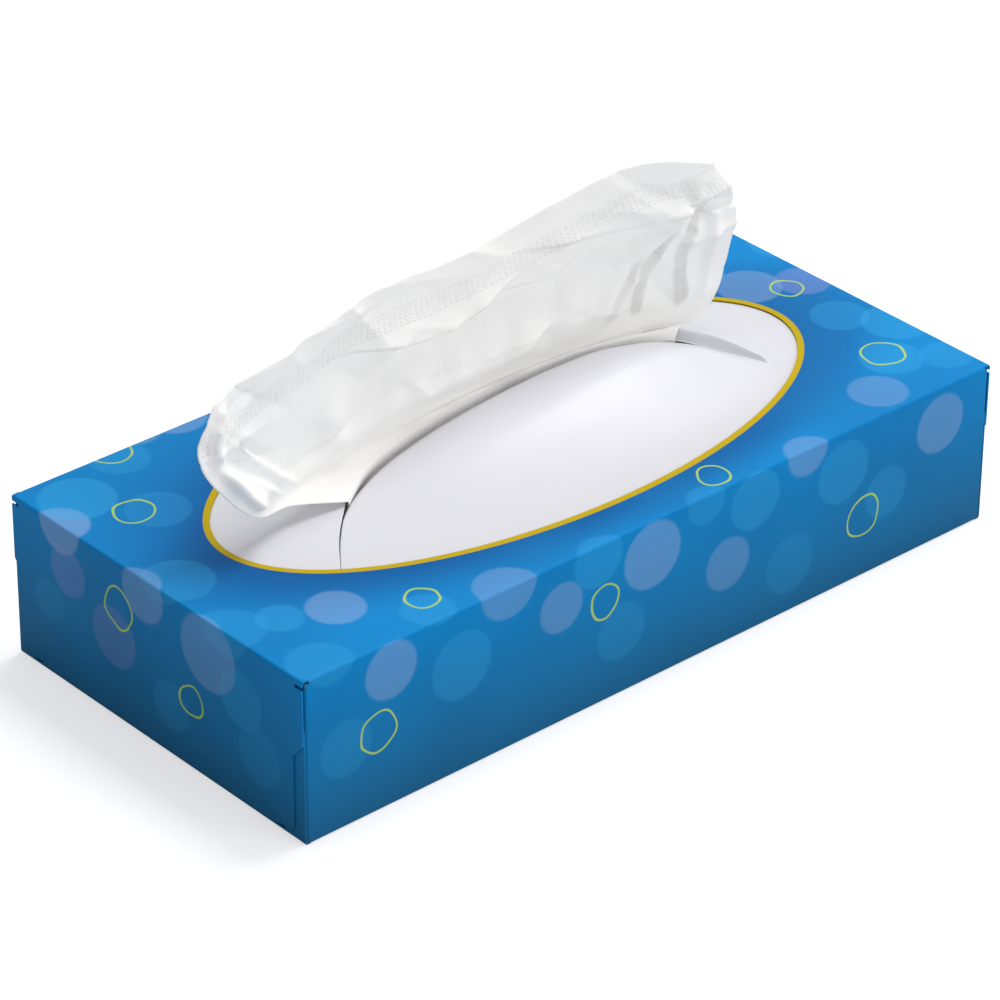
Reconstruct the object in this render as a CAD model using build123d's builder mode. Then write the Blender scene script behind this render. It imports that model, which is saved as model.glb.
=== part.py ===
from build123d import *
import os

os.makedirs("parts", exist_ok=True)

# A flat tissue box. X runs along the box, Y from its front side to its rear side, Z up.
# The origin is at the middle of the underside. All sizes are in millimetres.

# Carton
length = 230.0
width = 112.5
height = 46.0
board = 0.45               # thickness of the paperboard
crease_radius = 0.55       # centreline radius of a long fold
end_crease_radius = 0.7    # outer radius of a fold at an end flap
corner_relief = 1.2        # last stretch of the tube, where the flap creases start
rear_edge_gap = 0.3        # the rear side's raw lower edge stands this far above the floor
glue_flap_height = 14.0
side_inset = 0.25          # an end flap is this much narrower than the box on each side

# End flaps, from the innermost layer to the outermost
dust_flap_reach = 50.0
dust_flap_top_gap = 1.1
dust_flap_bottom_gap = 0.9
inner_flap_height = 36.0
inner_flap_corner = 6.0
outer_flap_bottom_gap = 1.6
outer_flap_shoulder = 28.0  # height at which the outer flap starts to narrow
outer_flap_taper = 4.0      # height over which it narrows
outer_flap_inset = 3.8      # how far in its lower side edges stand
outer_flap_corner = 3.0
notch_width = 3.0
notch_height = 1.0
lower_notch_offset = 8.5    # centre of a lower notch, inwards from the corner

# Oval opening in the top panel
oval_x_radius = 91.3
oval_y_radius = 42.6

# Film under the top panel
film = 0.2
film_length = 210.0
film_width = 104.0
slit_cut = 0.3

# Stack of folded tissues
stack_length = 208.0
stack_width = 102.0
stack_height = 34.0
stack_fold_radius = 1.5

# Pulled-up tissue
folded_half_thickness = 2.0  # the half that is still folded on the stack
folded_half_rear = 15.0      # how far it reaches behind the middle
standing_depth = 12.0        # depth of the soft waves of the standing half
standing_arc_radius = 300.0  # the standing half follows a shallow arc in plan
standing_crown_y = 13.0
standing_bottom = height + 2.5
standing_overlap = 1.5
neck_clearance = 1.0

# Heights and lengths that follow from the above
film_top = height - board
film_bottom = film_top - film
stack_top = board + stack_height
tube_half = length / 2 - 2 * board - corner_relief
dust_flap_outer_x = length / 2 - 2 * board

# The slit's two edges in plan. The front lip is a broad tongue that reaches behind the
# middle, and the rear lip stands a little apart from it where the tissue comes through.
slit_left = (-60.0, -5.5)
slit_right = (66.0, -7.5)
front_lip = [(-43.0, 4.0), (-22.0, 8.5), (0.0, 10.0), (20.0, 9.5), (40.0, 6.5), (55.0, 1.0)]
rear_lip = [(56.0, 5.5), (40.0, 12.0), (20.0, 15.5), (0.0, 16.0), (-22.0, 14.5), (-43.0, 9.5)]


# --- carton: one blank of board, folded and glued -------------------------------------------
with BuildPart() as carton:
    # The tube: rear side, top, front side, bottom, and the glue flap inside the rear side.
    with BuildSketch(Plane.YZ.offset(-tube_half)):
        with BuildLine():
            FilletPolyline(
                (width / 2 - board / 2, rear_edge_gap),
                (width / 2 - board / 2, height - board / 2),
                (-width / 2 + board / 2, height - board / 2),
                (-width / 2 + board / 2, board / 2),
                (width / 2 - 1.5 * board, board / 2),
                (width / 2 - 1.5 * board, glue_flap_height),
                radius=crease_radius,
            )
        trace(line_width=board)
    extrude(amount=2 * tube_half)

    # Each side runs on past the tube and turns in at both ends as a dust flap.
    for side in (-1, 1):
        side_y = side * (width / 2 - board / 2)
        flap_tip_y = side * (width / 2 - dust_flap_reach)
        flap_x = dust_flap_outer_x - board / 2
        with BuildSketch(Plane.XY.offset(dust_flap_bottom_gap)):
            with BuildLine():
                FilletPolyline(
                    (-flap_x, flap_tip_y),
                    (-flap_x, side_y),
                    (flap_x, side_y),
                    (flap_x, flap_tip_y),
                    radius=crease_radius,
                )
            trace(line_width=board)
        extrude(amount=height - dust_flap_top_gap - dust_flap_bottom_gap)

    for end in (-1, 1):
        # The bottom runs on to its end crease and turns up as the inner flap.
        floor_run = length / 2 - board - tube_half
        with Locations((end * (tube_half + floor_run / 2), 0, board / 2)):
            Box(floor_run, width - 2 * side_inset, board)
        with BuildSketch(Plane.YZ.offset(end * (length / 2 - 1.5 * board))):
            with Locations((0, inner_flap_height / 2)):
                Rectangle(width - 2 * side_inset, inner_flap_height)
            top_corners = vertices().group_by(Axis.Y)[-1]
            fillet(top_corners, inner_flap_corner)
        extrude(amount=board / 2, both=True)
        inner_crease = edges().filter_by(Axis.Y).filter_by_position(
            Axis.X, *sorted((end * (length / 2 - 1.02 * board), end * (length / 2 - 0.98 * board)))
        ).group_by(Axis.Z)[0]
        fillet(inner_crease, end_crease_radius)

        # The top runs on to its end crease and turns down as the outer flap.
        roof_run = length / 2 - tube_half
        with Locations((end * (tube_half + roof_run / 2), 0, height - board / 2)):
            Box(roof_run, width - 2 * side_inset, board)
        shoulder_y = width / 2 - side_inset
        foot_y = width / 2 - outer_flap_inset
        with BuildSketch(Plane.YZ.offset(end * (length / 2 - board / 2))):
            with BuildLine():
                Polyline(
                    (-shoulder_y, height),
                    (-shoulder_y, outer_flap_shoulder),
                    (-foot_y, outer_flap_shoulder - outer_flap_taper),
                    (-foot_y, outer_flap_bottom_gap),
                    (foot_y, outer_flap_bottom_gap),
                    (foot_y, outer_flap_shoulder - outer_flap_taper),
                    (shoulder_y, outer_flap_shoulder),
                    (shoulder_y, height),
                    close=True,
                )
            make_face()
            foot_corners = vertices().group_by(Axis.Y)[0]
            fillet(foot_corners, outer_flap_corner)
        extrude(amount=board / 2, both=True)
        outer_crease = edges().filter_by(Axis.Y).group_by(Axis.Z)[-1].group_by(Axis.X)
        fillet(outer_crease[0] if end < 0 else outer_crease[-1], end_crease_radius)

        # Small relief notches where the creases meet at the corners.
        for side in (-1, 1):
            with Locations(
                (end * length / 2, side * (width / 2 - notch_width / 2), height - 2 * notch_height),
                (end * length / 2, side * (width / 2 - lower_notch_offset), outer_flap_bottom_gap),
            ):
                Box(6 * board, notch_width, notch_height, mode=Mode.SUBTRACT)

    # The oval opening.
    with BuildSketch(Plane.XY.offset(height - 2 * board)):
        Ellipse(oval_x_radius, oval_y_radius)
    extrude(amount=3 * board, mode=Mode.SUBTRACT)
carton.part.label = "carton"


# --- slit_film: one thin sheet glued under the top panel ------------------------------------
with BuildPart() as slit_film:
    with BuildSketch(Plane.XY.offset(film_bottom)):
        Rectangle(film_length, film_width)
        # The gap that the tissue holds open.
        with BuildLine():
            Spline(slit_left, *front_lip, slit_right)
            Spline(slit_right, *rear_lip, slit_left)
        make_face(mode=Mode.SUBTRACT)
        # The slit's closed ends, and the short cut from its left end to the front rim.
        with BuildLine():
            Spline((65.9, -7.3), (70.5, -14.0), (73.0, -20.0))
        trace(line_width=slit_cut, mode=Mode.SUBTRACT)
        with BuildLine():
            Spline((-59.9, -5.4), (-66.0, -11.5), (-76.0, -23.5))
        trace(line_width=slit_cut, mode=Mode.SUBTRACT)
        with BuildLine():
            Spline((-43.1, 9.4), (-60.0, 14.5), (-76.0, 24.0))
        trace(line_width=slit_cut, mode=Mode.SUBTRACT)
    extrude(amount=film)
slit_film.part.label = "slit_film"


# --- tissue_stack: the interfolded tissues as one block -------------------------------------
with BuildPart() as tissue_stack:
    with Locations((0, 0, board + stack_height / 2)):
        Box(stack_length, stack_width, stack_height)
    fillet(tissue_stack.edges().filter_by(Axis.X), stack_fold_radius)
tissue_stack.part.label = "tissue_stack"


# --- top_tissue: the sheet that stands pulled through the slit ------------------------------
with BuildPart() as top_tissue:
    # The standing half is a shallow arc in plan, cut to its outline seen from the front.
    arc_centre_y = standing_crown_y - standing_arc_radius
    band_half_angle = 21
    with BuildSketch(Plane.XY.offset(standing_bottom)):
        with BuildLine():
            rear_arc = CenterArc(
                (0, arc_centre_y), standing_arc_radius + standing_depth / 2,
                90 - band_half_angle, 2 * band_half_angle,
            )
            front_arc = CenterArc(
                (0, arc_centre_y), standing_arc_radius - standing_depth / 2,
                90 - band_half_angle, 2 * band_half_angle,
            )
            Line(rear_arc @ 0, front_arc @ 0)
            Line(rear_arc @ 1, front_arc @ 1)
        make_face()
    extrude(amount=height + standing_depth)
    with BuildSketch(Plane.XZ):
        with BuildLine():
            Spline((-97, 87.5), (-64, 90), (-30, 93.5), (10, 94.5), (45, 100), (74, 94.5))
            Polyline((74, 94.5), (80, 82), (75, 56), (69, standing_bottom), (-78, standing_bottom))
            Spline((-78, standing_bottom), (-91, 61), (-102, 73), (-103, 82), (-97, 87.5))
        make_face()
    extrude(amount=width / 2, both=True, mode=Mode.INTERSECT)

    # The neck between the slit's two lips.
    with BuildSketch(Plane.XY.offset(stack_top)):
        with BuildLine():
            near_side = Spline(*[(x, y + neck_clearance) for x, y in front_lip])
            far_side = Spline(*[(x, y - neck_clearance) for x, y in rear_lip])
            Line(near_side @ 1, far_side @ 0)
            Line(far_side @ 1, near_side @ 0)
        make_face()
    extrude(amount=standing_bottom + standing_overlap - stack_top)

    # The other half, still folded flat on the stack.
    fold_width = stack_width / 2 + folded_half_rear
    with Locations((0, folded_half_rear - fold_width / 2, stack_top + folded_half_thickness / 2)):
        Box(stack_length, fold_width, folded_half_thickness)
    front_fold = edges().filter_by(Axis.X).group_by(Axis.Y)[0]
    fillet(front_fold, 0.45 * folded_half_thickness)
top_tissue.part.label = "top_tissue"

export_step(carton.part, "parts/carton.step")
export_step(slit_film.part, "parts/slit_film.step")
export_step(tissue_stack.part, "parts/tissue_stack.step")
export_step(top_tissue.part, "parts/top_tissue.step")
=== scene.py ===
# %% [markdown]
# # A flat box of paper tissues
# This file dresses a box of tissues: a printed carton, the thin white film under its oval
# opening, the tissue that stands pulled through the film's slit, and the folded stack inside.
# The carton's board comes from the CAD frame, and everything soft is made here.

import bpy
import numpy as np
from mathutils import Matrix, Vector


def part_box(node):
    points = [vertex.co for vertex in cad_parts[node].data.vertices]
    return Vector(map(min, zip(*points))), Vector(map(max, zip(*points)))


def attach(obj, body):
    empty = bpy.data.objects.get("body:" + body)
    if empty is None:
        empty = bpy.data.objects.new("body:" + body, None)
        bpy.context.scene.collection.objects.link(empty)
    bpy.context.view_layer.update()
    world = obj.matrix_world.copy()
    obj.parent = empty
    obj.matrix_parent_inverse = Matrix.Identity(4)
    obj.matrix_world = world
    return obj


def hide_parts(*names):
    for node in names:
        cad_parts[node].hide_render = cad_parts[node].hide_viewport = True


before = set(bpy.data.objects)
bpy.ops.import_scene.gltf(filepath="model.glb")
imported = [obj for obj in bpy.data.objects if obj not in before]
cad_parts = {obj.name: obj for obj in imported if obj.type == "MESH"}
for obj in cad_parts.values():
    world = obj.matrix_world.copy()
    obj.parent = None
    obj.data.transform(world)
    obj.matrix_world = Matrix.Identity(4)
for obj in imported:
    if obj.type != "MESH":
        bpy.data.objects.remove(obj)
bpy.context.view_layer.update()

# %% [markdown]
# Everything below is worked out in millimetres, because that is how a carton maker thinks,
# and turned into metres only where a mesh is written. The box's own sizes are read from the
# frame, so the looks can't drift away from the board they belong to.

# %% Sizes from the frame
MM = 0.001
carton_high = np.array(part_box("carton")[1]) / MM
film_high = np.array(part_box("slit_film")[1]) / MM
half_length, half_width, box_height = carton_high
board = box_height - film_high[2]
oval = np.array([91.3, 42.6])          # the opening's two radii
print(f"box {2 * half_length:.1f} x {2 * half_width:.1f} x {box_height:.1f} mm, board {board:.2f} mm")

# %% [markdown]
# The camera stands well back with a long lens, so that the box's edges stay almost parallel.
# It looks down on the near left corner. A view is a position and three directions: right, up
# and back, and a small roll turns the first two about the third.

# %% Camera
camera_azimuth, camera_elevation, camera_roll = np.radians([-41.69, 30.93, 0.447])
camera_distance = 1.2527
camera_lens = 175.7
aim_right, aim_up = -0.0029, 0.0213    # where the lens points, across and above the origin


def camera_directions(azimuth, elevation, roll):
    """Right, up and back of a camera that circles the object, turned by roll about back."""
    back = np.array([np.sin(azimuth) * np.cos(elevation),
                     -np.cos(azimuth) * np.cos(elevation), np.sin(elevation)])
    right = np.array([np.cos(azimuth), np.sin(azimuth), 0.0])
    up = np.cross(back, right)
    turned_right = right * np.cos(roll) + up * np.sin(roll)
    turned_up = up * np.cos(roll) - right * np.sin(roll)
    return turned_right, turned_up, back


right, up, back = camera_directions(camera_azimuth, camera_elevation, camera_roll)
camera = bpy.data.objects.new("camera", bpy.data.cameras.new("camera"))
camera.data.lens = camera_lens
camera.data.sensor_width = 36.0
camera.data.clip_start, camera.data.clip_end = 0.1, 20.0
place = right * aim_right + up * aim_up + back * camera_distance
camera.matrix_world = Matrix.Translation(Vector(place)) @ Matrix(np.array([right, up, back]).T).to_4x4()
bpy.context.scene.collection.objects.link(camera)
bpy.context.scene.camera = camera
bpy.context.scene.view_settings.view_transform = "Standard"
print("camera at", [round(float(c), 3) for c in place])

# %% [markdown]
# White things on a white ground need soft light with a clear direction, or their folds
# vanish. One large lamp hangs overhead on the right and makes the top the brightest side. A
# wider one fills the front, and the world gives the rest. The world is plain white only to the
# camera and in reflections.

# %% World and lamps
def node_tree(owner):
    """An empty node tree of a material or world."""
    owner.use_nodes = True
    owner.node_tree.nodes.clear()
    return owner.node_tree


def add(tree, kind, inputs=None, **settings):
    """A new node with its settings, and its inputs as values or as sockets to link from."""
    node = tree.nodes.new(kind)
    for name, value in settings.items():
        setattr(node, name, value)
    for key, value in (inputs or {}).items():
        if isinstance(value, bpy.types.NodeSocket):
            tree.links.new(value, node.inputs[key])
        else:
            node.inputs[key].default_value = value
    return node


def calc(tree, operation, *values):
    """A Math node's output socket."""
    return add(tree, "ShaderNodeMath", dict(enumerate(values)), operation=operation).outputs[0]


AMBIENT = 0.46
world = bpy.data.worlds.new("studio")
bpy.context.scene.world = world
tree = node_tree(world)
path = add(tree, "ShaderNodeLightPath").outputs
seen = calc(tree, "MAXIMUM", calc(tree, "MAXIMUM", path["Is Camera Ray"], path["Is Glossy Ray"]),
            path["Is Transmission Ray"])
ambient = add(tree, "ShaderNodeBackground", {"Color": (1, 1, 1, 1), "Strength": AMBIENT}).outputs[0]
white = add(tree, "ShaderNodeBackground", {"Color": (1, 1, 1, 1), "Strength": 1.0}).outputs[0]
mixed = add(tree, "ShaderNodeMixShader", {0: seen, 1: ambient, 2: white}).outputs[0]
add(tree, "ShaderNodeOutputWorld", {"Surface": mixed})


def lamp(name, place, aim, size, power):
    """A square soft lamp at one point that faces another, all in metres."""
    light = bpy.data.lights.new(name, "AREA")
    light.size, light.energy = size, power
    piece = bpy.data.objects.new(name, light)
    piece.location = place
    piece.rotation_euler = (Vector(aim) - Vector(place)).to_track_quat("-Z", "Y").to_euler()
    bpy.context.scene.collection.objects.link(piece)
    return piece


lamp("key", (0.55, 0.05, 1.25), (0.0, 0.0, 0.04), 0.7, 12.5)
lamp("front_fill", (0.5, -1.4, 0.5), (0.0, 0.0, 0.05), 0.9, 8.5)

# %% [markdown]
# The floor is one large pale square. It is lit like anything else, so it catches the shadow, and
# it glows a little towards the camera, so that it runs into the white ground behind it.

# %% Floor
floor_mesh = bpy.data.meshes.new("floor")
reach = 20.0
floor_mesh.from_pydata([(-reach, -reach, 0), (reach, -reach, 0), (reach, reach, 0), (-reach, reach, 0)],
                       [], [(0, 1, 2, 3)])
floor = bpy.data.objects.new("floor", floor_mesh)
bpy.context.scene.collection.objects.link(floor)
floor_look = bpy.data.materials.new("pale_floor")
tree = node_tree(floor_look)
path = add(tree, "ShaderNodeLightPath").outputs
matt = add(tree, "ShaderNodeBsdfDiffuse", {"Color": (0.62, 0.62, 0.63, 1)}).outputs[0]
glow = add(tree, "ShaderNodeEmission", {"Color": (1, 1, 1, 1), "Strength": calc(
    tree, "MULTIPLY", path["Is Camera Ray"], 0.55)}).outputs[0]
surface = add(tree, "ShaderNodeAddShader", {0: matt, 1: glow}).outputs[0]
add(tree, "ShaderNodeOutputMaterial", {"Surface": surface})
floor_mesh.materials.append(floor_look)

# %% [markdown]
# The carton is one sheet of board, printed flat and then folded, so its pattern runs on over
# every crease. The print is therefore laid out on the unfolded net: the top panel in the
# middle, the long sides above and below it, and the ends left and right. A point on a side is
# carried out past the top's edge by as far as it hangs below the top.

# %% Net coordinates and print helpers
def rgb(red, green, blue):
    """A colour that is written as 0 to 255 screen values, as the linear RGBA that shaders use."""
    screen = np.array([red, green, blue]) / 255.0
    linear = np.where(screen < 0.04045, screen / 12.92, ((screen + 0.055) / 1.055) ** 2.4)
    return (*[float(c) for c in linear], 1.0)


def split(tree, vector):
    """The three components of a vector socket."""
    return add(tree, "ShaderNodeSeparateXYZ", {"Vector": vector}).outputs


def join(tree, x, y, z=0.0):
    """A vector socket from components."""
    return add(tree, "ShaderNodeCombineXYZ", {"X": x, "Y": y, "Z": z}).outputs[0]


def ramp(tree, value, low, high, smooth=True):
    """0 below low, 1 above high, and a smooth step or a straight line between."""
    kind = "SMOOTHSTEP" if smooth else "LINEAR"
    return add(tree, "ShaderNodeMapRange", {"Value": value, "From Min": low, "From Max": high},
               interpolation_type=kind).outputs["Result"]


def paint(tree, under, over, share):
    """One colour over another, by a share from 0 to 1."""
    mix = add(tree, "ShaderNodeMix", {"Factor": share}, data_type="RGBA")
    for socket, colour in ((mix.inputs[6], under), (mix.inputs[7], over)):
        if isinstance(colour, bpy.types.NodeSocket):
            tree.links.new(colour, socket)
        else:
            socket.default_value = colour
    return mix.outputs[2]


def how_far(tree, point, centre):
    """Distance on the net from a point to a fixed centre, in millimetres."""
    return add(tree, "ShaderNodeVectorMath", {0: point, 1: (*centre, 0.0)},
               operation="DISTANCE").outputs["Value"]


def net_point(tree):
    """Where a point of the box lies on the unfolded net, and how far below the top it hangs."""
    where = add(tree, "ShaderNodeTexCoord").outputs
    place = add(tree, "ShaderNodeVectorMath", {0: where["Object"], "Scale": 1 / MM},
                operation="SCALE").outputs[0]
    x, y, z = split(tree, place)
    facing = add(tree, "ShaderNodeVectorMath", {0: where["Normal"]}, operation="ABSOLUTE").outputs[0]
    facing_x, facing_y, facing_z = split(tree, facing)
    on_end = calc(tree, "GREATER_THAN", facing_x, calc(tree, "MAXIMUM", facing_y, facing_z))
    on_side = calc(tree, "GREATER_THAN", facing_y, calc(tree, "MAXIMUM", facing_x, facing_z))
    drop = calc(tree, "SUBTRACT", box_height, z)
    out_x = calc(tree, "MULTIPLY", calc(tree, "MULTIPLY", calc(tree, "SIGN", x), on_end), drop)
    out_y = calc(tree, "MULTIPLY", calc(tree, "MULTIPLY", calc(tree, "SIGN", y), on_side), drop)
    return join(tree, calc(tree, "ADD", x, out_x), calc(tree, "ADD", y, out_y)), drop, (x, y, z)


# %% [markdown]
# The print itself is a common one: a blue ground with out-of-focus spots of light and a few
# thin hand-drawn rings. The blue is made darker round the opening. It is also darker and
# greyer towards the foot of each side, partly print and partly painted shade near the floor.
# A spot is a disc with a soft rim, laid over what is already there at a fraction of its
# strength, so two that overlap show each other. A ring is the same distance test with both
# sides cut off, on coordinates that a slow noise has pushed about, which makes it wobble.

# %% Spots and rings
PALE, CYAN, LILAC = rgb(160, 186, 226), rgb(58, 170, 226), rgb(150, 150, 214)
YELLOW_GREEN = rgb(176, 206, 70)
SPOT_STRENGTH, RING_STRENGTH = 0.8, 0.85
WOBBLE = 2.0                           # how far, in mm, the noise can push a ring from side to side
spots = [
    # left part of the top, and over the left edge
    (-88, -36, 7.5, PALE, 0.34), (-101, -31, 6.0, CYAN, 0.35), (-113, -27, 9.0, CYAN, 0.25),
    (-109, -2, 9.5, CYAN, 0.30), (-119, 4, 8.0, PALE, 0.30), (-124, -21, 10.5, PALE, 0.26),
    (-131, -33, 8.0, CYAN, 0.22), (-137, 16, 8.5, LILAC, 0.20), (-115, 37, 8.0, PALE, 0.42),
    (-104, 44, 10.0, CYAN, 0.42), (-92, 27, 8.5, CYAN, 0.22), (-127, 34, 7.0, LILAC, 0.24),
    (-146, -6, 7.0, CYAN, 0.16), (-144, -40, 8.0, CYAN, 0.15), (-139, 42, 6.0, CYAN, 0.15),
    # along the rear edge and the rear side
    (-84, 53, 8.0, CYAN, 0.26), (-73, 61, 7.0, PALE, 0.26), (-61, 60, 8.5, PALE, 0.32),
    (-49, 67, 9.5, PALE, 0.34), (-36, 60, 6.0, CYAN, 0.30), (-92, 71, 8.0, CYAN, 0.22),
    (-79, 80, 7.0, CYAN, 0.18), (-24, 72, 9.0, PALE, 0.42), (-11, 66, 7.5, CYAN, 0.30),
    (-5, 78, 6.5, CYAN, 0.22), (7, 70, 10.0, CYAN, 0.36), (24, 75, 7.5, PALE, 0.26),
    (33, 63, 6.5, CYAN, 0.30), (47, 57, 9.5, CYAN, 0.42), (57, 68, 7.0, PALE, 0.26),
    (68, 50, 6.5, PALE, 0.46), (64, 82, 7.5, CYAN, 0.24), (80, 64, 8.0, CYAN, 0.26),
    (91, 78, 9.0, CYAN, 0.20), (-37, 87, 7.5, CYAN, 0.18), (40, 88, 8.5, CYAN, 0.18),
    (104, 62, 7.0, CYAN, 0.22), (-104, 88, 9.0, CYAN, 0.12), (16, 92, 6.5, CYAN, 0.14),
    # right part of the top, and over the right edge
    (97, 15, 9.0, PALE, 0.30), (110, 8, 7.5, LILAC, 0.34), (90, 31, 10.0, CYAN, 0.34),
    (104, -12, 8.0, CYAN, 0.26), (113, -24, 9.5, CYAN, 0.30), (98, -37, 8.5, CYAN, 0.30),
    (83, -47, 8.0, PALE, 0.24), (110, -45, 7.0, CYAN, 0.26), (121, 28, 9.0, CYAN, 0.30),
    (126, -8, 8.5, PALE, 0.28), (139, 12, 9.5, CYAN, 0.20), (133, -36, 8.0, PALE, 0.24),
    (128, 45, 6.5, PALE, 0.28), (148, -18, 7.0, CYAN, 0.16), (143, 37, 8.0, CYAN, 0.16),
    # front part of the top and the front side
    (-106, -52, 8.5, CYAN, 0.28), (-72, -51, 7.0, CYAN, 0.26), (-51, -56, 9.0, PALE, 0.26),
    (-22, -60, 8.0, CYAN, 0.30), (-34, -69, 7.0, PALE, 0.26), (-4, -66, 9.5, PALE, 0.30),
    (14, -58, 6.5, CYAN, 0.26), (31, -64, 8.5, CYAN, 0.30), (49, -57, 7.0, PALE, 0.28),
    (62, -68, 9.0, CYAN, 0.28), (-66, -72, 9.5, CYAN, 0.26), (-88, -64, 8.0, PALE, 0.30),
    (22, -79, 7.5, PALE, 0.22), (-14, -84, 8.0, CYAN, 0.18), (78, -80, 7.5, CYAN, 0.20),
    (97, -67, 8.5, PALE, 0.28), (-102, -80, 8.0, CYAN, 0.18), (44, -88, 8.5, CYAN, 0.16),
]
rings = [(-97, 30, 5.2), (-70, -46, 4.6), (-128, 14, 5.4), (-141, -14, 4.3), (22, -50, 4.4),
         (-92, -80, 5.6), (-20, -73, 4.4), (70, -84, 5.6), (98, -34, 5.8), (104, 8, 4.4),
         (56, 50, 5.6), (-84, 57, 5.6), (4, 77, 5.8), (-48, 84, 4.4), (82, 62, 4.6),
         (134, 20, 5.8), (131, -20, 4.4)]
blue_bright, blue_dark, foot_blue_and_shade = rgb(0, 130, 198), rgb(0, 84, 148), rgb(30, 92, 130)
band = oval + [1.8, 1.9]               # outer radii of the yellow line round the opening

printed_board = bpy.data.materials.new("printed_board")
tree = node_tree(printed_board)
net, drop, (x, y, z) = net_point(tree)
flat_x, flat_y, _ = split(tree, net)
round_oval = add(tree, "ShaderNodeVectorMath", {0: join(
    tree, calc(tree, "DIVIDE", flat_x, oval[0]), calc(tree, "DIVIDE", flat_y, oval[1]))},
    operation="LENGTH").outputs["Value"]
slow = add(tree, "ShaderNodeTexNoise", {"Vector": net, "Scale": 0.018, "Detail": 1.0}).outputs["Fac"]
# the blue is darker close to the opening and lighter further out
colour = paint(tree, blue_dark, blue_bright, ramp(tree, round_oval, 0.98, 1.42))
colour = paint(tree, colour, rgb(8, 112, 174), calc(tree, "MULTIPLY", ramp(tree, slow, 0.42, 0.62), 0.5))
# partly painted shade: each side turns darker and greyer towards the floor, partly print
colour = paint(tree, colour, foot_blue_and_shade, calc(tree, "MULTIPLY", ramp(tree, drop, 2.0, 46.0, False), 0.85))
for spot_x, spot_y, radius, tint, strength in spots:
    inside = ramp(tree, how_far(tree, net, (spot_x, spot_y)), radius + 0.5, radius - 0.7)
    colour = paint(tree, colour, tint, calc(tree, "MULTIPLY", inside, SPOT_STRENGTH * strength))
push = add(tree, "ShaderNodeTexNoise", {"Vector": net, "Scale": 0.16, "Detail": 0.0}).outputs["Color"]
wobbled = add(tree, "ShaderNodeVectorMath", {0: push, 1: (WOBBLE, WOBBLE, 0.0), 2: net},
              operation="MULTIPLY_ADD").outputs[0]
wobbled = add(tree, "ShaderNodeVectorMath", {0: wobbled, 1: (WOBBLE / 2, WOBBLE / 2, 0.0)},
              operation="SUBTRACT").outputs[0]
lines = 0.0
for ring_x, ring_y, radius in rings:
    off = calc(tree, "ABSOLUTE", calc(tree, "SUBTRACT", how_far(tree, wobbled, (ring_x, ring_y)), radius))
    lines = calc(tree, "MAXIMUM", lines, ramp(tree, off, 0.42, 0.16))
colour = paint(tree, colour, YELLOW_GREEN, calc(tree, "MULTIPLY", lines, RING_STRENGTH))

# the yellow line, the cut edge inside it (yellow ink painted darker as painted shade), and the bare board
# inside the box
line = add(tree, "ShaderNodeVectorMath", {0: join(
    tree, calc(tree, "DIVIDE", x, band[0]), calc(tree, "DIVIDE", y, band[1]))},
    operation="LENGTH").outputs["Value"]
on_top = calc(tree, "GREATER_THAN", z, box_height - 1.2 * board)
yellow = calc(tree, "MULTIPLY", ramp(tree, line, 1.002, 0.998), on_top)
colour = paint(tree, colour, rgb(186, 160, 8), yellow)
# painted shade: the cut edge of the opening gets a darker copy of the yellow
shaded_cut_edge = calc(tree, "MULTIPLY", yellow, calc(tree, "LESS_THAN", z, box_height - 0.12 * board))
colour = paint(tree, colour, rgb(128, 112, 8), shaded_cut_edge)
lower_x = calc(tree, "LESS_THAN", calc(tree, "ABSOLUTE", x), half_length - 2.6 * board)
lower_y = calc(tree, "LESS_THAN", calc(tree, "ABSOLUTE", y), half_width - 0.6 * board)
between = calc(tree, "MULTIPLY", calc(tree, "LESS_THAN", z, box_height - 1.04 * board),
               calc(tree, "GREATER_THAN", z, 0.6 * board))
bare = calc(tree, "MULTIPLY", calc(tree, "MULTIPLY", lower_x, lower_y), between)
colour = paint(tree, colour, rgb(176, 172, 164), bare)
grain = add(tree, "ShaderNodeTexNoise", {"Vector": net, "Scale": 2.2, "Detail": 3.0}).outputs["Fac"]
bump = add(tree, "ShaderNodeBump", {"Height": grain, "Strength": 0.05, "Distance": 0.0002}).outputs[0]
surface = add(tree, "ShaderNodeBsdfPrincipled", {
    "Base Color": colour, "Roughness": 0.45, "Specular IOR Level": 0.07, "Normal": bump}).outputs[0]
add(tree, "ShaderNodeOutputMaterial", {"Surface": surface})
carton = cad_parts["carton"]
carton.data.materials.clear()
carton.data.materials.append(printed_board)
print(f"print: {len(spots)} spots, {len(rings)} rings, {len(tree.nodes)} nodes")

# %% [markdown]
# The film, the tissue and the stack are surfaces of whole numpy arrays. A curve through a few
# points is a cubic Hermite curve: each stretch leaves and meets its points in the direction of
# their neighbours, so it passes smoothly through all of them.

# %% Curves and surfaces
def through(points, count):
    """A smooth curve through the points, sampled evenly in chord length, as an array of points."""
    points = np.array(points, float)
    steps = np.linalg.norm(np.diff(points, axis=0), axis=1)
    knots = np.concatenate([[0.0], np.cumsum(steps)]) / steps.sum()
    slopes = np.gradient(points, knots, axis=0)
    at = np.linspace(0.0, 1.0, count)
    part = np.clip(np.searchsorted(knots, at, side="right") - 1, 0, len(knots) - 2)
    gap = knots[part + 1] - knots[part]
    t = ((at - knots[part]) / gap)[:, None]
    gap = gap[:, None]
    return ((2 * t**3 - 3 * t**2 + 1) * points[part] + (t**3 - 2 * t**2 + t) * gap * slopes[part]
            + (3 * t**2 - 2 * t**3) * points[part + 1] + (t**3 - t**2) * gap * slopes[part + 1])


def smooth(value, low, high):
    """0 below low, 1 above high, with a smooth step between."""
    t = np.clip((value - low) / (high - low), 0.0, 1.0)
    return t * t * (3 - 2 * t)


def along(points, x):
    """The second coordinate of a curve through the points, at each x."""
    curve = through(points, 800)
    order = np.argsort(curve[:, 0])
    return np.interp(x, curve[order, 0], curve[order, 1])


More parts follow.
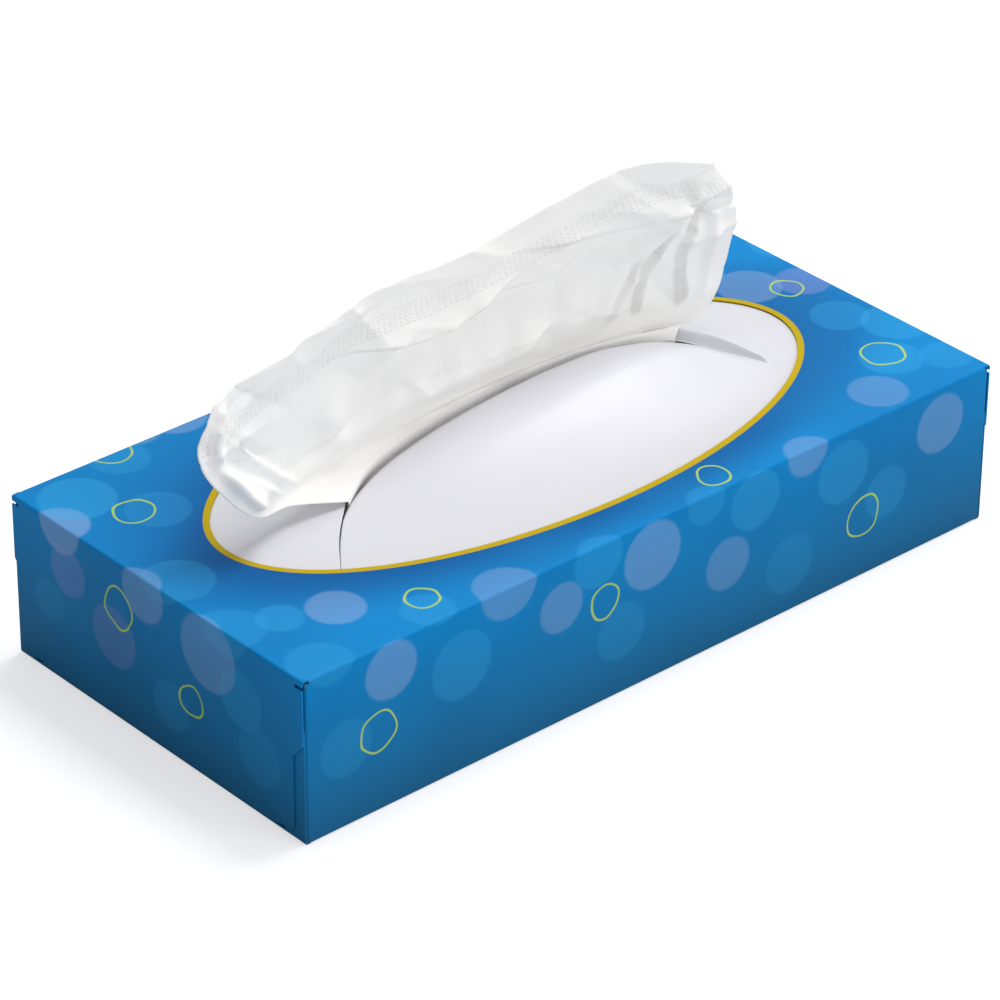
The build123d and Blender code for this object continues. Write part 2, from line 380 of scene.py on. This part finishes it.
def surface_object(name, grids, material, thickness, uv=None, wrap=False):
    """One mesh of several grids of points in millimetres. Points that share a place are welded."""
    points, faces, start = [], [], 0
    for grid in grids:
        rows, columns = grid.shape[:2]
        number = start + np.arange(rows * columns).reshape(rows, columns)
        if wrap:
            number = np.vstack([number, number[:1]])
        corners = (number[:-1, :-1], number[:-1, 1:], number[1:, 1:], number[1:, :-1])
        faces.append(np.stack(corners, axis=-1).reshape(-1, 4))
        points.append(grid.reshape(-1, 3))
        start += rows * columns
    points = np.concatenate(points)
    faces = np.concatenate(faces)
    _, first, same = np.unique(np.round(points, 4), axis=0, return_index=True, return_inverse=True)
    faces = same.reshape(-1)[faces]
    mesh = bpy.data.meshes.new(name)
    mesh.from_pydata((points[first] * MM).tolist(), [], faces.tolist())
    mesh.polygons.foreach_set("use_smooth", np.ones(len(mesh.polygons), bool))
    if uv is not None:
        flat = uv.reshape(-1, 2)[first]
        corner = np.empty(len(mesh.loops), np.int32)
        mesh.loops.foreach_get("vertex_index", corner)
        mesh.uv_layers.new(name="sheet").data.foreach_set("uv", flat[corner].ravel())
    mesh.update()
    piece = bpy.data.objects.new(name, mesh)
    bpy.context.scene.collection.objects.link(piece)
    mesh.materials.append(material)
    if thickness:
        shell = piece.modifiers.new("thickness", "SOLIDIFY")
        shell.thickness = thickness * MM
        shell.offset = 0.0
    print(f"{name}: {len(first)} points, {len(faces)} faces")
    return piece


# %% [markdown]
# The film is one thin sheet that is glued under the top panel and slit across the middle. The
# near lip is a broad tongue that the tissue has pulled up and rounded over; the far lip lies
# lower, with a small nose where the tissue's right end leaves the slit. The mesh has full
# columns across the box. Outside the slit's ends the two halves share their edge points.

# %% Film
white_film = bpy.data.materials.new("white_film")
tree = node_tree(white_film)
ripple = add(tree, "ShaderNodeTexNoise", {"Vector": add(tree, "ShaderNodeTexCoord").outputs["Object"],
                                          "Scale": 60.0, "Detail": 1.0}).outputs["Fac"]
bump = add(tree, "ShaderNodeBump", {"Height": ripple, "Strength": 0.25, "Distance": 0.0006}).outputs[0]
surface = add(tree, "ShaderNodeBsdfPrincipled", {
    "Base Color": rgb(209, 209, 215), "Roughness": 0.36, "Specular IOR Level": 0.35,
    "Normal": bump}).outputs[0]
add(tree, "ShaderNodeOutputMaterial", {"Surface": surface})

film_reach, film_side = 105.0, 52.0    # half the film's length and width
slit_start, slit_end = -76.0, 73.0     # where the cuts end, along the box
film_thickness = 0.14
near_edge = [(-105, -23.5), (-76, -23.5), (-66, -11.5), (-60, -5.5), (-43, 4), (-22, 8.5), (0, 10),
             (20, 9.5), (40, 6.5), (55, 1), (66, -7.5), (70.5, -14), (73, -20), (105, -20)]
far_edge = [(-105, -23.5), (-76, -23.5), (-66, -11), (-59, -4), (-43, 9.5), (-22, 14.5), (0, 16),
            (20, 15.5), (40, 11.5), (56, 3.6), (61, -1.8), (66, -7.2), (70.5, -13.8), (73, -20),
            (105, -20)]
near_rise = [(-105, 0), (-58, 0), (-43, 0.6), (-22, 2.4), (0, 4.0), (20, 5.4), (35, 6.4),
             (50, 5.6), (60, 3.6), (66, 1.2), (73, 0), (105, 0)]
nose_rise = [(-105, 0), (-60, 0), (-43, 0.4), (-22, 0.8), (0, 1.0), (20, 1.2), (40, 1.8), (54, 3.4),
             (62, 4.6), (67, 4.6), (71, 2.2), (74, 0), (105, 0)]
film_x = np.linspace(-film_reach, film_reach, 301)
film_x = np.sort(np.concatenate([film_x, [slit_start, slit_end]]))
near_y = np.interp(film_x, *np.array(near_edge).T)
far_y = np.interp(film_x, *np.array(far_edge).T)
inside = (film_x > slit_start) & (film_x < slit_end)
near_y[inside] = along(near_edge[1:-1], film_x[inside])
far_y[inside] = np.maximum(along(far_edge[1:-1], film_x[inside]), near_y[inside] + 0.15)
lift_near = np.maximum(np.interp(film_x, *np.array(near_rise).T), 0)
lift_nose = np.maximum(np.interp(film_x, *np.array(nose_rise).T), 0)
kernel = np.hanning(17) / np.hanning(17).sum()
lift_near = np.convolve(lift_near, kernel, "same") * inside
lift_nose = np.convolve(lift_nose, kernel, "same") * inside
rim_y = oval[1] * np.sqrt(np.clip(1 - (film_x / oval[0]) ** 2, 0, 1))
film_mid = box_height - board - 0.1
v = np.linspace(0, 1, 60)[:, None]
near_grid_y = -film_side + (near_y + film_side) * v
share = (near_grid_y + rim_y) / (near_y + rim_y + 1e-6)
# the lip is roundest just short of its edge
crown = 0.35 * np.exp(-(((share - 0.76) / 0.16) ** 2))
near_z = film_mid + lift_near * (smooth(share, 0.12, 0.8) + crown)
far_grid_y = far_y + (film_side - far_y) * v**1.4
behind = far_grid_y - far_y
# at the right the far edge rises to meet the near lip
lift_far = lift_near * smooth(film_x, 44, 60)
nose = smooth(behind, 0, 3) * (1 - smooth(behind, 4, 11))
far_z = film_mid + lift_far * (1 - smooth(behind, 0, 8)) + lift_nose * nose
columns = np.broadcast_to(film_x, near_grid_y.shape)
film = surface_object("film", [np.stack([columns, near_grid_y, near_z], axis=-1),
                               np.stack([columns, far_grid_y, far_z], axis=-1)], white_film,
                      film_thickness)
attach(film, "root")
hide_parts("slit_film")

# %% [markdown]
# The tissue that stands is one soft sheet, gathered in the slit and fanned out above it. Its
# outline is four curves that meet at the corners, and the sheet between them is a Coons patch:
# the blend from side to side, plus the blend from bottom to top, less the blend of the corners.
# Folds are laid over it by their distance from short lines drawn on the sheet, seen from the
# front. A ledge is a step that fades on one side, as where one layer ends on another.

# %% Tissue
columns, rows = 230, 126
u = np.linspace(0, 1, columns)[None, :, None]
v = np.linspace(0, 1, rows)[:, None, None]
low = through([(-55, -1.4, 46.5), (-43, 6.4, 47), (-25, 11.2, 48), (-3, 13, 48.5), (20, 12.5, 48.5),
               (42, 8.9, 48.5), (53, 3.8, 49.5), (57, 1.2, 50.5)], columns)[None]
high = through([(-95, 0, 88), (-83, 4, 88), (-64.5, 7, 89.3), (-53, 9, 90.7), (-40, 11, 93.7),
                (-29, 12, 93.3), (-13, 13, 92.4), (3, 13.5, 93.4), (14, 13.5, 94.4), (24, 13, 96),
                (41, 11.5, 99), (53, 10, 99), (66, 8, 96), (75.5, 7, 92.5)], columns)[None]
left = through([(-55, -1.4, 46.5), (-73, 0, 51.5), (-85, -3, 54.5), (-94, -2, 63), (-101, -1, 77),
                (-95, 0, 88)], rows)[:, None]
right = through([(57, 1.2, 50.5), (59.5, 2.2, 52.8), (63, 4, 51.2), (67, 5, 50.4), (71.5, 5.2, 52),
                 (76, 5, 58), (80.5, 6, 70), (81.5, 6, 80), (75.5, 7, 92.5)], rows)[:, None]
corners = ((1 - u) * (1 - v) * low[:, :1] + u * (1 - v) * low[:, -1:] + (1 - u) * v * high[:, :1]
           + u * v * high[:, -1:])
sheet = (1 - v) * low + v * high + (1 - u) * left + u * right - corners
plan_x, plan_z = sheet[..., 0].copy(), sheet[..., 2].copy()


def from_line(points):
    """Distance to a line of points on the sheet seen from the front, and the side it lies on."""
    curve = through([(*p, 0) for p in points], 60)[:, :2]
    best = np.full(plan_x.shape, 1e9)
    side = np.zeros(plan_x.shape)
    for start, end in zip(curve[:-1], curve[1:]):
        run = end - start
        share = np.clip(((plan_x - start[0]) * run[0] + (plan_z - start[1]) * run[1]) / (run @ run), 0, 1)
        away_x = plan_x - start[0] - share * run[0]
        away_z = plan_z - start[1] - share * run[1]
        away = np.hypot(away_x, away_z)
        nearer = away < best
        best = np.where(nearer, away, best)
        side = np.where(nearer, np.sign(run[0] * away_z - run[1] * away_x), side)
    return best, side


def ridge(points, height, width):
    """A rounded fold that stands towards the front, or away from it where height is negative."""
    away, _ = from_line(points)
    return height * np.exp(-((away / width) ** 2))


def ledge(points, height, fade):
    """A step at the line that fades away on its left-hand side, walking along the points."""
    away, side = from_line(points)
    signed = away * side
    return height * smooth(signed, -0.5, 0.7) * np.exp(-np.clip(signed, 0, None) / fade)


random = np.random.default_rng(7)
front = np.zeros(plan_x.shape)
front += ledge([(-48, 47), (-61, 49), (-66, 54), (-71, 58.5), (-78, 65), (-84, 71)], 2.6, 7)
front += ledge([(-52, 46.5), (-66, 50), (-73, 55), (-80, 61), (-89, 67)], 1.6, 7)
front += ridge([(-91, 68), (-86, 61.5), (-81, 55), (-77, 51)], 1.5, 2.2)
front += ridge([(-92, 84), (-95, 77), (-91, 67), (-84, 58)], 2.0, 2.0)
front += ridge([(-53, 66), (-50, 58), (-46, 49)], 1.4, 4.5)
front += ledge([(-34, 77), (-23, 74.5), (-14, 73.5), (-7, 74.5), (-1, 76.5)], 2.2, 8)
front += ledge([(-1, 76.5), (4, 77.5), (11, 77), (20, 76.5), (27, 78.5)], 2.0, 7)
front += ledge([(27, 84.5), (38, 83), (52, 81), (60, 81), (70, 81)], 1.3, 7)
front += ledge([(69, 82), (74, 80.5), (81, 79.5)], -1.2, 5)
front += ridge([(66, 89), (68, 83.5), (69, 81.5)], -1.3, 1.8)
front += ledge([(67, 77), (64, 72), (63.5, 62), (64, 53)], 2.6, 5)
front += ledge([(57, 71), (53, 66), (51.5, 58), (52, 52)], 2.4, 5)
front += ledge([(50, 66), (45, 60), (41, 53)], 2.0, 4)
front += ridge([(74, 80), (73, 70), (70, 58)], 1.6, 2.2)
front += ridge([(69, 84), (58, 76), (48, 73)], 1.2, 2.4)
front += ridge([(12, 70), (15, 60), (18, 51)], 0.9, 4.5)
front += ridge([(-22, 68), (-18, 58), (-14, 50)], 0.8, 5.0)
for _ in range(70):                      # facets all over the sheet, with sharp crests
    middle = (random.uniform(-95, 80), random.uniform(52, 95))
    turn = random.uniform(-0.9, 0.9)
    across = (plan_z - middle[1]) * np.cos(turn) - (plan_x - middle[0]) * np.sin(turn)
    reach = np.hypot(plan_x - middle[0], plan_z - middle[1])
    front += random.uniform(-1.6, 1.6) * np.exp(-np.abs(across) / 2.6) * np.exp(-((reach / 15) ** 2))
for _ in range(14):                      # soft waves that rise out of the slit
    centre = random.uniform(-50, 58)
    lean = random.uniform(-0.25, 0.35) + centre / 160
    across = plan_x - centre - lean * (plan_z - 48)
    front += random.uniform(-1.6, 1.6) * np.exp(-((across / 4.0) ** 2)) * (1 - smooth(plan_z, 55, 88))
steady = smooth(plan_z, 53, 59)          # the sheet is held still where the lips pinch it
fold_depth = 1.15
sheet[..., 1] -= fold_depth * front * steady

# the hidden half: down the neck, forward over the stack, round the fold and back under itself
wide = np.linspace(-103.5, 103.5, columns)
foot = low[0]
path = [(0.0, 0.0, 46.0), (0.0, 0.0, 44.6), (0.02, -0.2, 43.2), (0.6, -3.0, 39.2), (1.0, -9.0, 36.4),
        (1.0, -28.0, 36.15), (1.0, -47.5, 36.1), (1.0, -49.6, 35.6), (1.0, -47.5, 35.1),
        (1.0, -20.0, 34.95), (1.0, 13.5, 34.9)]
path = through(path, 56)[1:]
hidden = np.empty((len(path), columns, 3))
spread = np.clip(path[:, :1], 0, 1)
hidden[..., 0] = foot[:, 0] * (1 - spread) + wide * spread
hidden[..., 1] = foot[:, 1] * (1 - spread) + path[:, 1:2]
hidden[..., 2] = path[:, 2:3] + (foot[:, 2] - 46.0) * (1 - smooth(path[:, 2:3] * -1, -46, -42))
whole = np.concatenate([hidden[::-1], sheet])
flat_u = np.broadcast_to(np.linspace(0, 1.04, columns)[None], whole.shape[:2])
flat_v = np.broadcast_to(np.linspace(0, 1.0, len(whole))[:, None], whole.shape[:2])

DOTS_ACROSS_AND_UP = (95.0, 100.0)     # embossed dots along the sheet's two sides
THIN_SHARE = 0.32                      # how much of the light passes through the sheet
tissue_paper = bpy.data.materials.new("tissue_paper")
tree = node_tree(tissue_paper)
where = add(tree, "ShaderNodeTexCoord").outputs["Object"]
crepe = add(tree, "ShaderNodeTexNoise", {"Vector": where, "Scale": 900.0, "Detail": 3.0}).outputs["Fac"]
folds = add(tree, "ShaderNodeTexNoise", {"Vector": where, "Scale": 70.0, "Detail": 4.0}).outputs["Fac"]
bump = add(tree, "ShaderNodeBump", {"Height": folds, "Strength": 0.5, "Distance": 0.0012}).outputs[0]
emboss = add(tree, "ShaderNodeTexCoord").outputs["UV"]
cells = add(tree, "ShaderNodeVectorMath", {0: emboss, 1: (*DOTS_ACROSS_AND_UP, 0.0)},
            operation="MULTIPLY").outputs[0]
dots = add(tree, "ShaderNodeTexVoronoi", {"Vector": cells, "Scale": 1.0,
                                          "Randomness": 0.0}).outputs["Distance"]
_, up, _ = split(tree, emboss)
strip = calc(tree, "MULTIPLY", ramp(tree, up, 0.865, 0.87), ramp(tree, up, 0.925, 0.92))
pressed = calc(tree, "MULTIPLY", ramp(tree, dots, 0.34, 0.2), strip)
bump = add(tree, "ShaderNodeBump", {"Height": pressed, "Strength": 0.6, "Distance": 0.0003,
                                    "Normal": bump}).outputs[0]
bump = add(tree, "ShaderNodeBump", {"Height": crepe, "Strength": 0.25, "Distance": 0.0002,
                                    "Normal": bump}).outputs[0]
opaque = add(tree, "ShaderNodeBsdfPrincipled", {"Base Color": rgb(253, 252, 249), "Roughness": 0.9,
                                                "Specular IOR Level": 0.1, "Normal": bump}).outputs[0]
thin = add(tree, "ShaderNodeBsdfTranslucent", {"Color": rgb(250, 250, 251), "Normal": bump}).outputs[0]
mixed = add(tree, "ShaderNodeMixShader", {0: THIN_SHARE, 1: opaque, 2: thin}).outputs[0]
add(tree, "ShaderNodeOutputMaterial", {"Surface": mixed})
tissue = surface_object("tissue", [whole], tissue_paper, 0.2,
                        uv=np.stack([flat_u, flat_v], axis=-1))
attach(tissue, "root")
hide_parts("top_tissue")

# %% [markdown]
# The stack of folded tissues is hidden in the box. It is one block whose two long sides ripple
# where the folded layers lie on each other. Its top stands a little lower than the CAD stack, to
# stay clear of the tissue's hidden fold.

# %% Stack
turn = np.linspace(0, 2 * np.pi, 240, endpoint=False)[:, None]
along_x = np.linspace(-1, 1, 60)[None, :]
square = np.maximum(np.abs(np.cos(turn)), np.abs(np.sin(turn)))
round_y = np.cos(turn) / square
round_z = np.sin(turn) / square
ripple = 0.25 * (np.cos(round_z * 40) - 1) * (np.abs(round_y) > 0.97)
stack_half = np.array([103.8, 50.7, 16.5])
stack_middle_z = 17.0
block = np.stack(np.broadcast_arrays(
    stack_half[0] * along_x, stack_half[1] * round_y + ripple * np.sign(round_y),
    stack_middle_z + stack_half[2] * round_z), axis=-1)
caps = []
for end in (0, -1):
    rim = block[:, end]
    shrink = np.linspace(1, 0.0, 12)[None, :, None]
    centre = rim.mean(axis=0)
    caps.append(centre + (rim[:, None] - centre) * shrink)
stack = surface_object("stack", [block, *caps], tissue_paper, 0.0, wrap=True)
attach(stack, "root")
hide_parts("tissue_stack")
